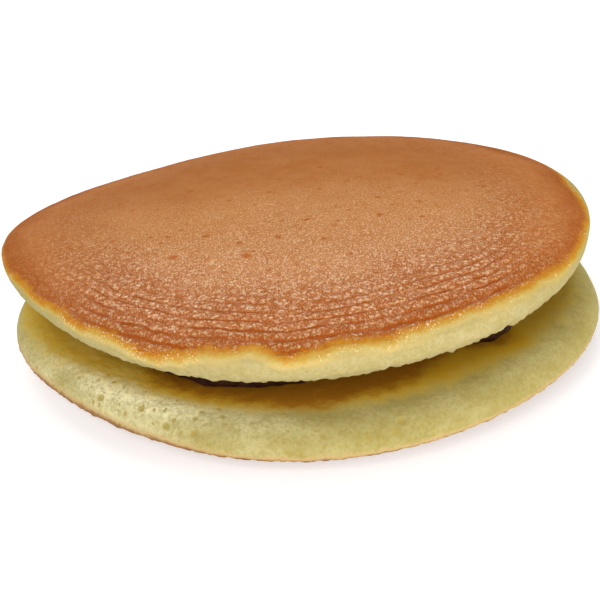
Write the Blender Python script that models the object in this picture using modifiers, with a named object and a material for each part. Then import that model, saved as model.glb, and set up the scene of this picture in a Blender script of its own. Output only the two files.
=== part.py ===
"""Red bean dorayaki: two round griddle cakes with a layer of sweet bean paste between them.

The lower cake lies crust down on a small flat spot. The paste lies on it, squeezed out unevenly
under the front rim, and the upper cake rests on the paste with its crust up, tipped so that the
gap is widest at the front. Units are metres, +Z is up and the front faces -Y. The origin is in
the middle of the base, on the surface that the lower cake stands on.
"""
import math

import bmesh
import bpy
from mathutils import Euler, Vector
from mathutils.bvhtree import BVHTree

OBJECT_NAME = "red_bean_dorayaki"

# Both cakes
CAKE_RADIUS = 0.050
EDGE_ROUNDING = 1.6         # exponent that turns a parabola's edge into a round shoulder
CLEARANCE = 0.0003          # left between the paste and each cake
WELD_DISTANCE = 0.00001

# Upper cake: heights are above or below its widest plane
CROWN_HEIGHT = 0.0059
CROWN_EXPONENT = 2.37
UPPER_WALL_DEPTH = 0.0041
UPPER_WALL_INSET = 0.0030
UPPER_HOLLOW = 0.0030       # how far the underside bends up over the paste
UPPER_PLACE = Vector((-0.0001, 0.0010, 0.01858))
UPPER_TILT_ABOUT_X = math.radians(-3.24)
UPPER_TILT_ABOUT_Y = math.radians(-1.44)

# Lower cake: its widest plane lies this high above the flat spot
BELLY_HEIGHT = 0.0045
BELLY_EXPONENT = 1.43
FLAT_SPOT_RADIUS = 0.022
LOWER_WALL_HEIGHT = 0.0040
LOWER_WALL_INSET = 0.0060
LOWER_DISH = 0.0007         # how far the paste has pressed the top face in
LOWER_PLACE = Vector((0.0009, 0.0002, 0.0))

# Waves of the outlines, as shares of the radius: wave number, cosine part, sine part
UPPER_OUTLINE = ((2, -0.0015, 0.0007), (3, -0.0053, 0.0073), (4, 0.0027, -0.0031), (5, -0.0072, 0.0044))
LOWER_OUTLINE = ((2, -0.0044, -0.0034), (3, -0.0017, 0.0067), (4, 0.0081, 0.0), (5, -0.0031, -0.0027))

# Waves of the rims up and down, in metres: wave number, cosine part, sine part
UPPER_WARP = ((2, 0.00113, 0.00059), (3, -0.00025, -0.00035))
LOWER_WARP = ((2, 0.00015, 0.00009), (3, 0.00005, -0.00019))

# Paste: its mean radius and the places where it is squeezed out further
PASTE_RADIUS = 0.0335
PASTE_SIDE_INSET = 0.10     # how far its top and bottom edges draw in, as a share of its radius
PASTE_SWELLS = (            # direction in degrees, half width in degrees, extra radius in metres
    (-128.0, 17.0, 0.0042),
    (-101.0, 19.0, 0.0046),
    (-43.0, 11.0, 0.0050),
    (-5.0, 26.0, 0.0022),
    (62.0, 30.0, 0.0030),
    (118.0, 20.0, 0.0017),
    (176.0, 24.0, 0.0027),
)

# Fineness of the facets
TURN_STEPS = 64
CROWN_RINGS = 12
WALL_RINGS = 5
FACE_RINGS = 6
PASTE_STEPS = 56
PASTE_FACE_RINGS = 4
PASTE_SIDE_RINGS = 4

COLOURS = {                 # base colour and roughness
    "upper_pancake": ((0.37, 0.13, 0.035), 0.45),
    "bean_paste": ((0.035, 0.010, 0.008), 0.40),
    "lower_pancake": ((0.60, 0.47, 0.20), 0.75),
}


def clear_scene():
    """Removes the objects that are there at the start."""
    for found in list(bpy.data.objects):
        bpy.data.objects.remove(found, do_unlink=True)


def make_collection(name):
    collection = bpy.data.collections.new(name)
    bpy.context.scene.collection.children.link(collection)
    return collection


def make_material(name, colour, roughness):
    material = bpy.data.materials.new(name)
    material.use_nodes = True
    shader = material.node_tree.nodes["Principled BSDF"]
    shader.inputs["Base Color"].default_value = (*colour, 1.0)
    shader.inputs["Roughness"].default_value = roughness
    shader.inputs["Metallic"].default_value = 0.0
    return material


def shares(count):
    """Even steps from 0 up to 1, both ends with them."""
    return [step / count for step in range(count + 1)]


def shoulder(share, exponent):
    """Height of a rounded dome, 1 in its middle and 0 where share reaches 1."""
    return max(0.0, 1.0 - share ** exponent) ** (1.0 / EDGE_ROUNDING)


def bend(share):
    """1 in the middle, 0 at the edge, level at both."""
    return 0.5 + 0.5 * math.cos(math.pi * min(share, 1.0))


def upper_profile():
    """Half section of the upper cake: crust, wall and hollow underside, from top to bottom."""
    points = []
    for share in shares(CROWN_RINGS):
        reach = math.sin(share * math.pi / 2)
        points.append((CAKE_RADIUS * reach, CROWN_HEIGHT * shoulder(reach, CROWN_EXPONENT)))
    for share in shares(WALL_RINGS)[1:]:
        angle = share * math.pi / 2
        inset = UPPER_WALL_INSET * (1 - math.cos(angle))
        points.append((CAKE_RADIUS - inset, -UPPER_WALL_DEPTH * math.sin(angle)))
    lip_radius = CAKE_RADIUS - UPPER_WALL_INSET
    for share in reversed(shares(FACE_RINGS)[:-1]):
        points.append((lip_radius * share, -UPPER_WALL_DEPTH + UPPER_HOLLOW * bend(share)))
    return points


def lower_profile():
    """Half section of the lower cake: top face, wall, belly and flat spot, from top to bottom."""
    points = []
    lip_radius = CAKE_RADIUS - LOWER_WALL_INSET
    for share in shares(FACE_RINGS):
        height = BELLY_HEIGHT + LOWER_WALL_HEIGHT - LOWER_DISH * bend(share)
        points.append((lip_radius * share, height))
    for share in reversed(shares(WALL_RINGS)[:-1]):
        angle = share * math.pi / 2
        inset = LOWER_WALL_INSET * (1 - math.cos(angle))
        points.append((CAKE_RADIUS - inset, BELLY_HEIGHT + LOWER_WALL_HEIGHT * math.sin(angle)))
    belly_width = CAKE_RADIUS - FLAT_SPOT_RADIUS
    for share in reversed(shares(CROWN_RINGS)[:-1]):
        reach = math.sin(share * math.pi / 2)
        height = BELLY_HEIGHT * (1 - shoulder(reach, BELLY_EXPONENT))
        points.append((FLAT_SPOT_RADIUS + belly_width * reach, height))
    points.append((0.0, 0.0))
    return points


def paste_profile():
    """Half section of the paste in shares: 1 is its outline across, and 0 to 1 its room upwards."""
    edge = 1.0 - PASTE_SIDE_INSET
    points = [(edge * share, 1.0) for share in shares(PASTE_FACE_RINGS)]
    for share in shares(PASTE_SIDE_RINGS)[1:-1]:
        points.append((edge + PASTE_SIDE_INSET * math.sin(share * math.pi), 1.0 - share))
    points += [(edge * share, 0.0) for share in reversed(shares(PASTE_FACE_RINGS))]
    return points


def turn(name, profile, steps, collection):
    """Turns a half section round the Z axis and returns the closed solid as an object."""
    outline = bpy.data.meshes.new(name)
    vertices = [(radius, 0.0, height) for radius, height in profile]
    outline.from_pydata(vertices, [(i, i + 1) for i in range(len(vertices) - 1)], [])
    turned = bpy.data.objects.new(name, outline)
    collection.objects.link(turned)
    screw = turned.modifiers.new("Turn", "SCREW")
    screw.axis = "Z"
    screw.angle = 2 * math.pi
    screw.steps = steps
    screw.render_steps = steps
    screw.use_merge_vertices = True
    screw.merge_threshold = WELD_DISTANCE
    bpy.context.view_layer.update()
    evaluated = turned.evaluated_get(bpy.context.evaluated_depsgraph_get())
    solid = bpy.data.meshes.new_from_object(evaluated)
    turned.modifiers.clear()
    turned.data = solid
    solid.name = name
    bpy.data.meshes.remove(outline)
    reshape(turned, lambda point: point)
    solid.shade_smooth()
    return turned


def reshape(target, move):
    """Welds a mesh and puts each of its points where move says."""
    shape = bmesh.new()
    shape.from_mesh(target.data)
    bmesh.ops.remove_doubles(shape, verts=shape.verts, dist=WELD_DISTANCE)
    for vertex in shape.verts:
        vertex.co = move(vertex.co.copy())
    shape.normal_update()
    shape.to_mesh(target.data)
    shape.free()


def wave_sum(waves, angle):
    """Sum of the waves at an angle round the Z axis."""
    return sum(across * math.cos(number * angle) + along * math.sin(number * angle)
               for number, across, along in waves)


def uneven(outline, warp, flat_radius):
    """Function that gives a turned cake its uneven outline and its rim's rise and fall."""
    def move(point):
        radius = math.hypot(point.x, point.y)
        angle = math.atan2(point.y, point.x)
        lift = max(0.0, radius - flat_radius) / (CAKE_RADIUS - flat_radius)
        grow = 1.0 + wave_sum(outline, angle) * min(1.0, radius / CAKE_RADIUS)
        height = point.z + wave_sum(warp, angle) * lift ** 2
        return Vector((point.x * grow, point.y * grow, height))
    return move


def paste_reach(angle):
    """Radius of the paste in a direction, in radians."""
    reach = PASTE_RADIUS
    for direction, half_width, extra in PASTE_SWELLS:
        away = math.remainder(angle - math.radians(direction), 2 * math.pi)
        reach += extra * math.exp(-(away / math.radians(half_width)) ** 2)
    return reach


def world_tree(solid):
    """Search tree over a solid's faces where they stand."""
    bpy.context.view_layer.update()
    shape = bmesh.new()
    shape.from_mesh(solid.data)
    shape.transform(solid.matrix_world)
    tree = BVHTree.FromBMesh(shape)
    shape.free()
    return tree


def filling(lower, upper):
    """Function that spreads the turned paste to its outline and between the two cakes."""
    floor_tree = world_tree(lower)
    roof_tree = world_tree(upper)
    middle = (LOWER_PLACE.z + BELLY_HEIGHT + LOWER_WALL_HEIGHT + UPPER_PLACE.z - UPPER_WALL_DEPTH) / 2

    def move(point):
        share = math.hypot(point.x, point.y)
        angle = math.atan2(point.y, point.x)
        reach = share * paste_reach(angle)
        across = Vector((reach * math.cos(angle), reach * math.sin(angle), middle))
        floor = floor_tree.ray_cast(across, Vector((0, 0, -1)))[0].z + CLEARANCE
        roof = roof_tree.ray_cast(across, Vector((0, 0, 1)))[0].z - CLEARANCE
        return Vector((across.x, across.y, floor + (roof - floor) * point.z))
    return move


def build():
    clear_scene()
    collection = make_collection(OBJECT_NAME)

    lower = turn("lower_pancake", lower_profile(), TURN_STEPS, collection)
    reshape(lower, uneven(LOWER_OUTLINE, LOWER_WARP, FLAT_SPOT_RADIUS))
    lower.location = LOWER_PLACE

    upper = turn("upper_pancake", upper_profile(), TURN_STEPS, collection)
    reshape(upper, uneven(UPPER_OUTLINE, UPPER_WARP, 0.0))
    upper.location = UPPER_PLACE
    upper.rotation_mode = "ZYX"
    upper.rotation_euler = Euler((UPPER_TILT_ABOUT_X, UPPER_TILT_ABOUT_Y, 0.0), "ZYX")

    paste = turn("bean_paste", paste_profile(), PASTE_STEPS, collection)
    reshape(paste, filling(lower, upper))

    for solid in (lower, paste, upper):
        colour, roughness = COLOURS[solid.name]
        solid.data.materials.append(make_material(solid.name, colour, roughness))


build()
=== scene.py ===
"""Looks of the red bean dorayaki: two griddle cakes with sweet bean paste between them.

Each cake and the paste is turned from a half section, then given its uneven outline, its tilt and
its fine relief: rings and crinkles in the crust, pores in the crumb, lumps in the paste. Lengths in
the code are millimetres, and the meshes are metres.
"""
from __future__ import annotations

import logging
import math
from collections.abc import Callable, Mapping, Sequence
from dataclasses import dataclass
from enum import Enum
from typing import ClassVar

import bpy
import numpy as np
from mathutils import Matrix, Vector, kdtree, noise
from mathutils.bvhtree import BVHTree


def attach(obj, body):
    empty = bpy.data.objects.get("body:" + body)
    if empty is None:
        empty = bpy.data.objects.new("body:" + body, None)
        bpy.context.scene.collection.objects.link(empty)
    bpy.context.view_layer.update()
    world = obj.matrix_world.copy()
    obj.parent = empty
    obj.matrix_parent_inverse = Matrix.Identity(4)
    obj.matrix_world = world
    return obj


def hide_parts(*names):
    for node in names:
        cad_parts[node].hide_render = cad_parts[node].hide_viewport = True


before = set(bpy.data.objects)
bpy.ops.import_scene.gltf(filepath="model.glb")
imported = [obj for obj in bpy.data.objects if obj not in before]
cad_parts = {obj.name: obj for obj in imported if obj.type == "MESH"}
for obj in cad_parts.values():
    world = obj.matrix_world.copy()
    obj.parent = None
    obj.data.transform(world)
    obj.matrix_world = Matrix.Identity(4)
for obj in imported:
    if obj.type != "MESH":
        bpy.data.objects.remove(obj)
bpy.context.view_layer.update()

MM = 0.001
WELD = 0.0001
CURVE_POINTS = 160
GROOVE_WIDTH = 0.2          # half width of the groove between two rows of the crust, in rows
NEARLY_NONE = 1e-6          # chance of a pore where there should be none, as each has to have one
LOG = logging.getLogger("dorayaki")

Colour = tuple[float, float, float]
Place = tuple[float, float, float]
Wave = tuple[int, float, float]         # number round the axis, cosine part, sine part
Bump = tuple[float, float, float]       # direction and half width in degrees, height
Pit = tuple[float, float, float]        # direction in degrees, distance from the axis, size


# Small mathematics for arrays


def ease(values: np.ndarray, low: float, high: float) -> np.ndarray:
    """Smooth step from 0 at low to 1 at high.

    Args:
        values: The numbers to judge.
        low: Where the step starts. It may be above high, and then the step falls.
        high: Where the step ends.

    Returns:
        An array of numbers from 0 to 1.
    """
    share = np.clip((values - low) / (high - low), 0.0, 1.0)
    return share * share * (3.0 - 2.0 * share)


def ripple(points: np.ndarray, size: float, seed: float) -> np.ndarray:
    """Smooth noise between about -1 and 1.

    Args:
        points: Places in millimetres, one row each.
        size: Length of the waves in millimetres.
        seed: Picks another pattern.

    Returns:
        One number for each point.
    """
    places = points / size + seed * np.array([17.13, 9.37, 31.71])
    return np.fromiter((noise.noise(place) for place in places.tolist()), float, len(points))


def wave_sum(waves: Sequence[Wave], angle: np.ndarray) -> np.ndarray:
    """Sum of waves round the Z axis.

    Args:
        waves: The waves.
        angle: Angles in radians.

    Returns:
        The sum at each angle.
    """
    total = np.zeros_like(angle)
    for number, across, along in waves:
        total += across * np.cos(number * angle) + along * np.sin(number * angle)
    return total


def turned_by(angle: np.ndarray, direction: float) -> np.ndarray:
    """Angle in degrees between each angle, in radians, and a direction in degrees."""
    return (np.degrees(angle) - direction + 180.0) % 360.0 - 180.0


def bumps(angle: np.ndarray, places: Sequence[Bump]) -> np.ndarray:
    """Sum of soft bumps round the Z axis.

    Args:
        angle: Angles in radians.
        places: The bumps.

    Returns:
        The height at each angle.
    """
    total = np.zeros_like(angle)
    for direction, half_width, height in places:
        total += height * np.exp(-((turned_by(angle, direction) / half_width) ** 2))
    return total


def groove(rows: np.ndarray) -> np.ndarray:
    """1 in the groove between two rows, falling to 0 beside it."""
    return np.exp(-((rows - rows.round()) / GROOVE_WIDTH) ** 2)


# Half sections and the solids turned from them


@dataclass(frozen=True)
class Stretch:
    """One run of a half section.

    Attributes:
        points: Radius and height of places along it, close together.
        pitch: Distance between the rings that it becomes.
    """

    points: tuple[tuple[float, float], ...]
    pitch: float

    def rings(self) -> np.ndarray:
        """Spaces its rings evenly, both ends with them.

        Returns:
            Radius and height of each ring.
        """
        dense = np.array(self.points)
        lengths = np.concatenate([[0.0], np.cumsum(np.hypot(*np.diff(dense, axis=0).T))])
        count = max(1, round(lengths[-1] / self.pitch))
        wanted = np.linspace(0.0, lengths[-1], count + 1)
        return np.stack([np.interp(wanted, lengths, dense[:, axis]) for axis in (0, 1)], axis=1)


def curve(start: float, stop: float, place: Callable[[float], tuple[float, float]]) -> tuple:
    """Places along a curve, close together, between two values of its parameter."""
    return tuple(place(float(value)) for value in np.linspace(start, stop, CURVE_POINTS))


class HalfSection:
    """The rings of a turned solid, from the top of its axis to the bottom."""

    def __init__(self, stretches: Sequence[Stretch], rim_after: int) -> None:
        """Joins the stretches.

        Args:
            stretches: The runs, from the top downwards.
            rim_after: How many of them lie above the widest ring.
        """
        runs = [stretch.rings() for stretch in stretches]
        self.rings = np.concatenate([runs[0]] + [run[1:] for run in runs[1:]])
        steps = np.hypot(*np.diff(self.rings, axis=0).T)
        self.arc = np.concatenate([[0.0], np.cumsum(steps)])
        self.rim = sum(len(run) - 1 for run in runs[:rim_after])
        along = np.gradient(self.rings, self.arc, axis=0)
        self.normals = np.stack([-along[:, 1], along[:, 0]], axis=1)
        self.normals /= np.linalg.norm(self.normals, axis=1)[:, None]
        self.normals[[0, -1]] = ((0.0, 1.0), (0.0, -1.0))

    def turn(self, name: str, steps: int) -> bpy.types.Object:
        """Spins the half section round the Z axis.

        Args:
            name: Name of the new piece.
            steps: Number of segments round the axis.

        Returns:
            A closed mesh whose points hold the number of their ring.
        """
        bpy.ops.object.select_all(action="DESELECT")
        sides = 2 * (len(self.rings) - 1)
        bpy.ops.mesh.primitive_circle_add(vertices=sides, radius=1.0, rotation=(math.pi / 2, 0, 0))
        piece = bpy.context.object
        piece.name = piece.data.name = name
        bpy.ops.object.transform_apply(location=False, rotation=True, scale=False)
        bpy.ops.object.mode_set(mode="EDIT")
        bpy.ops.mesh.select_all(action="DESELECT")
        bpy.ops.object.mode_set(mode="OBJECT")
        for vertex in piece.data.vertices:
            vertex.select = vertex.co.x < -0.5 / sides
        bpy.ops.object.mode_set(mode="EDIT")
        bpy.ops.mesh.delete(type="VERT")
        bpy.ops.object.mode_set(mode="OBJECT")
        number = piece.data.attributes.new("ring", "FLOAT", "POINT")
        downwards = sorted(piece.data.vertices, key=lambda vertex: -vertex.co.z)
        for ring, vertex in enumerate(downwards):
            radius, height = self.rings[ring]
            vertex.co = (radius, 0.0, height)
            number.data[vertex.index].value = ring
        turned = piece.modifiers.new("turned", "SCREW")
        turned.axis = "Z"
        turned.steps = turned.render_steps = steps
        turned.use_merge_vertices = True
        turned.merge_threshold = WELD
        bpy.ops.object.modifier_apply(modifier=turned.name)
        bpy.ops.object.mode_set(mode="EDIT")
        bpy.ops.mesh.select_all(action="SELECT")
        bpy.ops.mesh.remove_doubles(threshold=WELD)
        bpy.ops.mesh.normals_make_consistent(inside=False)
        bpy.ops.object.mode_set(mode="OBJECT")
        return piece


class Skin:
    """The points of a turned piece while it is given its real shape."""

    off_limits = 1000.0         # counts as this far away, so that it is never the nearest
    pore_rim = 1.3              # a pore fades out at this share of its radius
    pore_bowl = 0.8             # exponent of a pore's round bottom

    def __init__(self, piece: bpy.types.Object, section: HalfSection) -> None:
        """Reads the points and works out where each lies on its half section.

        Args:
            piece: The turned mesh.
            section: The half section that it was turned from.
        """
        mesh = piece.data
        self.piece = piece
        self.points = np.zeros(len(mesh.vertices) * 3)
        mesh.vertices.foreach_get("co", self.points)
        self.points = self.points.reshape(-1, 3)
        ring = np.zeros(len(mesh.vertices))
        mesh.attributes["ring"].data.foreach_get("value", ring)
        ring = ring.round().astype(int)
        mesh.attributes.remove(mesh.attributes["ring"])
        self.angle = np.arctan2(self.points[:, 1], self.points[:, 0])
        self.radius = section.rings[ring, 0]
        self.arc = section.arc[ring]
        self.past_rim = self.arc - section.arc[section.rim]
        across, up = section.normals[ring].T
        around = np.cos(self.angle), np.sin(self.angle)
        self.outward = np.stack([across * around[0], across * around[1], up], axis=1)

    def push(self, distance: np.ndarray) -> None:
        """Moves each point outwards by a distance."""
        self.points += self.outward * distance[:, None]

    def store(self, name: str, values: np.ndarray) -> None:
        """Keeps one number for each point, for the finish to read."""
        attribute = self.piece.data.attributes.new(name, "FLOAT", "POINT")
        attribute.data.foreach_set("value", values.astype(np.float32))

    def scatter(self, chance: np.ndarray, count: int, seed: int) -> np.ndarray:
        """Picks points at random.

        Args:
            chance: How likely each place is, by area.
            count: How many to pick.
            seed: Picks another pattern.

        Returns:
            The numbers of the points.
        """
        weight = chance * self.radius
        random = np.random.default_rng(seed)
        return random.choice(len(weight), size=count, replace=False, p=weight / weight.sum())

    def find(self, pits: Sequence[Pit]) -> np.ndarray:
        """Finds the points above the rim that are nearest to the middles of pits.

        Args:
            pits: The pits.

        Returns:
            The number of one point for each pit.
        """
        found = []
        for direction, radius, _ in pits:
            along = np.radians(turned_by(self.angle, direction)) * radius
            away = np.hypot(along, self.radius - radius)
            found.append(np.argmin(away + self.off_limits * (self.past_rim > 0.0)))
        return np.array(found)

    def pit(self, middles: np.ndarray, radii: np.ndarray, depth: float) -> np.ndarray:
        """Presses small round pores into the surface.

        Args:
            middles: The numbers of the points in their middles.
            radii: Their radii.
            depth: Their depth as a share of the radius.

        Returns:
            How deep inside a pore each point lies, from 0 to 1.
        """
        tree = kdtree.KDTree(len(self.points))
        for index, place in enumerate(self.points.tolist()):
            tree.insert(place, index)
        tree.balance()
        inside = np.zeros(len(self.points))
        sunk = np.zeros(len(self.points))
        for middle, radius in zip(middles, radii):
            reach = radius * self.pore_rim
            for _, index, away in tree.find_range(self.points[middle].tolist(), reach):
                share = max(0.0, 1.0 - (away / reach) ** 2)
                inside[index] = max(inside[index], share)
                sunk[index] = max(sunk[index], share ** self.pore_bowl * radius * depth)
        self.push(-sunk)
        return inside

    def finish(self) -> None:
        """Writes the points back, in metres, and shades the piece smooth."""
        mesh = self.piece.data
        mesh.vertices.foreach_set("co", (self.points * MM).ravel())
        mesh.update()
        mesh.shade_smooth()


# Shader mathematics


class Signal:
    """A number that varies over a surface, worked on as in a Python expression."""

    def __init__(self, bench: "Bench", socket: bpy.types.NodeSocket) -> None:
        """Wraps an output socket."""
        self.bench = bench
        self.socket = socket

    def _math(self, operation: str, first: object, second: object) -> "Signal":
        """Adds a Math node for one operation."""
        made = self.bench.node("ShaderNodeMath", {"operation": operation}, {0: first, 1: second})
        return Signal(self.bench, made.outputs[0])

    def __add__(self, other: object) -> "Signal":
        """Sum."""
        return self._math("ADD", self, other)

    __radd__ = __add__

    def __sub__(self, other: object) -> "Signal":
        """Difference."""
        return self._math("SUBTRACT", self, other)

    def __rsub__(self, other: object) -> "Signal":
        """Difference from a number."""
        return self._math("SUBTRACT", other, self)

    def __mul__(self, other: object) -> "Signal":
        """Product."""
        return self._math("MULTIPLY", self, other)

    __rmul__ = __mul__

    def __truediv__(self, other: object) -> "Signal":
        """Quotient."""
        return self._math("DIVIDE", self, other)

    def fold(self, length: float) -> "Signal":
        """Distance to the nearest whole multiple of twice a length."""
        return self._math("PINGPONG", self, length)

    def most(self, other: object) -> "Signal":
        """The greater of two."""
        return self._math("MAXIMUM", self, other)

    def ease(self, low: float, high: float) -> "Signal":
        """Smooth step from 0 at low to 1 at high.

        Args:
            low: Where the step starts. It may be above high, and then the step falls.
            high: Where the step ends.

        Returns:
            A signal from 0 to 1.
        """
        if low > high:
            return 1.0 - self.ease(high, low)
        sockets = {0: self, 1: low, 2: high}
        made = self.bench.node("ShaderNodeMapRange", {"interpolation_type": "SMOOTHSTEP"}, sockets)
        return Signal(self.bench, made.outputs[0])


class Bench:
    """A material's node tree, and the ways that the finishes add to it."""

    def __init__(self, name: str) -> None:
        """Makes a material with one Principled shader and coordinates in millimetres.

        Args:
            name: Name of the material.
        """
        self.material = bpy.data.materials.new(name)
        self.material.use_nodes = True
        self.tree = self.material.node_tree
        self.shader = self.tree.nodes["Principled BSDF"]
        coordinates = self.node("ShaderNodeTexCoord", {}, {})
        self.place = self.vector("SCALE", {0: coordinates.outputs["Object"], "Scale": 1 / MM})

    def node(
        self, kind: str, settings: Mapping[str, object], sockets: Mapping[object, object]
    ) -> bpy.types.Node:
        """Adds a node.

        Args:
            kind: Blender's name for the type of node.
            settings: The node's own properties, set first.
            sockets: A value, socket or Signal for each named or numbered input.

        Returns:
            The new node.
        """
        made = self.tree.nodes.new(kind)
        for name, value in settings.items():
            setattr(made, name, value)
        for key, value in sockets.items():
            self.feed(made.inputs[key], value)
        return made

    def feed(self, entry: bpy.types.NodeSocket, value: object) -> None:
        """Gives an input its value, or links it to what makes the value.

        Args:
            entry: The input.
            value: A value, socket or Signal. A colour has three parts.
        """
        if isinstance(value, Signal):
            value = value.socket
        if isinstance(value, bpy.types.NodeSocket):
            self.tree.links.new(value, entry)
        elif isinstance(value, tuple) and len(entry.default_value) == 4:
            entry.default_value = (*value, 1.0)
        else:
            entry.default_value = value

    def vector(self, operation: str, sockets: Mapping[object, object]) -> bpy.types.NodeSocket:
        """Adds a Vector Math node for one operation that makes a vector."""
        return self.node("ShaderNodeVectorMath", {"operation": operation}, sockets).outputs[0]

    def noise(
        self, size: float, detail: float = 2.0, roughness: float = 0.5, place: object = None
    ) -> Signal:
        """Cloudy noise from 0 to 1.

        Args:
            size: About how wide its patches are, in millimetres.
            detail: Number of finer layers.
            roughness: How strong the finer layers are.
            place: Coordinates to draw it on, if not the plain ones.

        Returns:
            The noise.
        """
        sockets = {"Vector": place or self.place, "Scale": 1 / size}
        sockets |= {"Detail": detail, "Roughness": roughness}
        return Signal(self, self.node("ShaderNodeTexNoise", {}, sockets).outputs[0])

    def cells(self, size: float, place: object = None) -> tuple[Signal, bpy.types.NodeSocket]:
        """Cells round scattered points.

        Args:
            size: About how wide the cells are, in millimetres.
            place: Coordinates to draw them on, if not the plain ones.

        Returns:
            The distance to the nearest point, in cells, and a random colour for each cell.
        """
        sockets = {"Vector": place or self.place, "Scale": 1 / size, "Randomness": 1.0}
        made = self.node("ShaderNodeTexVoronoi", {"feature": "F1"}, sockets)
        return Signal(self, made.outputs["Distance"]), made.outputs["Color"]

    def split(self, colour: bpy.types.NodeSocket) -> tuple[Signal, Signal, Signal]:
        """The three parts of a colour."""
        made = self.node("ShaderNodeSeparateColor", {}, {0: colour})
        return tuple(Signal(self, socket) for socket in made.outputs[:3])

    def warped(self, size: float, reach: float) -> bpy.types.NodeSocket:
        """Coordinates pushed about by noise, so that round things drawn there come out uneven.

        Args:
            size: How wide the uneven stretches are, in millimetres.
            reach: How far the noise pushes, from one end to the other, in millimetres.

        Returns:
            The coordinates.
        """
        sockets = {"Vector": self.place, "Scale": 1 / size, "Detail": 1.0}
        made = self.node("ShaderNodeTexNoise", {}, sockets)
        centred = self.vector("SUBTRACT", {0: made.outputs["Color"], 1: (0.5, 0.5, 0.5)})
        pushed = self.vector("SCALE", {0: centred, "Scale": reach})
        return self.vector("ADD", {0: self.place, 1: pushed})

    def stretched(self, factors: Place) -> bpy.types.NodeSocket:
        """Coordinates multiplied along each axis, so that what is drawn there is longer or shorter."""
        return self.vector("MULTIPLY", {0: self.place, 1: factors})

    def away_from(self, place: Place, coordinates: bpy.types.NodeSocket) -> Signal:
        """Distance in millimetres from coordinates to a place."""
        made = self.node("ShaderNodeVectorMath", {"operation": "DISTANCE"}, {0: coordinates, 1: place})
        return Signal(self, made.outputs["Value"])

    def stored(self, name: str) -> Signal:
        """A number that the mesh holds for each of its points."""
        settings = {"attribute_type": "GEOMETRY", "attribute_name": name}
        return Signal(self, self.node("ShaderNodeAttribute", settings, {}).outputs["Fac"])

    def mix(self, first: object, second: object, share: object) -> bpy.types.NodeSocket:
        """Blends from the first colour, at share 0, to the second, at 1."""
        made = self.node("ShaderNodeMix", {"data_type": "RGBA"}, {0: share, 6: first, 7: second})
        return made.outputs[2]

    def relief(self, height: Signal) -> None:
        """Bumps the surface by a height in millimetres."""
        made = self.node("ShaderNodeBump", {}, {"Strength": 1.0, "Distance": MM, "Height": height})
        self.tree.links.new(made.outputs[0], self.shader.inputs["Normal"])

    def set(self, **sockets: object) -> None:
        """Sets the shader's inputs, whose names have spaces where the keywords have underscores."""
        for name, value in sockets.items():
            self.feed(self.shader.inputs[name.replace("_", " ")], value)


# Finishes


@dataclass(frozen=True)
class Grains:
    """The noises that the cakes' patterns share, from the finest to the widest.

    Attributes:
        grain: About 0.3 mm across.
        fleck: About 0.7 mm across.
        drift: About 3 mm across.
        patch: About 8 mm across.
    """

    grain: Signal
    fleck: Signal
    drift: Signal
    patch: Signal


@dataclass(frozen=True)
class CrustMarks:
    """What lies where on a crust.

    Attributes:
        inside: Distance inside the crust's end, in millimetres.
        coarse_and_glinting: How rough the crust is, and how strongly grain and glints are painted on it,
            from 0 to 1.
        band: 1 in the ring of fine rows near the rim.
        edge: 1 at the darker outermost crust.
        wander: Number of the fine row, made a little uneven.
        cracks: 1 in the grooves and cracks.
        domes: 1 on the small domes between the cracks, whose tops are painted with glints.
        glint_speck: 1 in the light grain, painted with glints and given a glossier coat.
        spot: 1 in the pores.
    """

    inside: Signal
    coarse_and_glinting: Signal
    band: Signal
    edge: Signal
    wander: Signal
    cracks: Signal
    domes: Signal
    glint_speck: Signal
    spot: Signal


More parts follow.
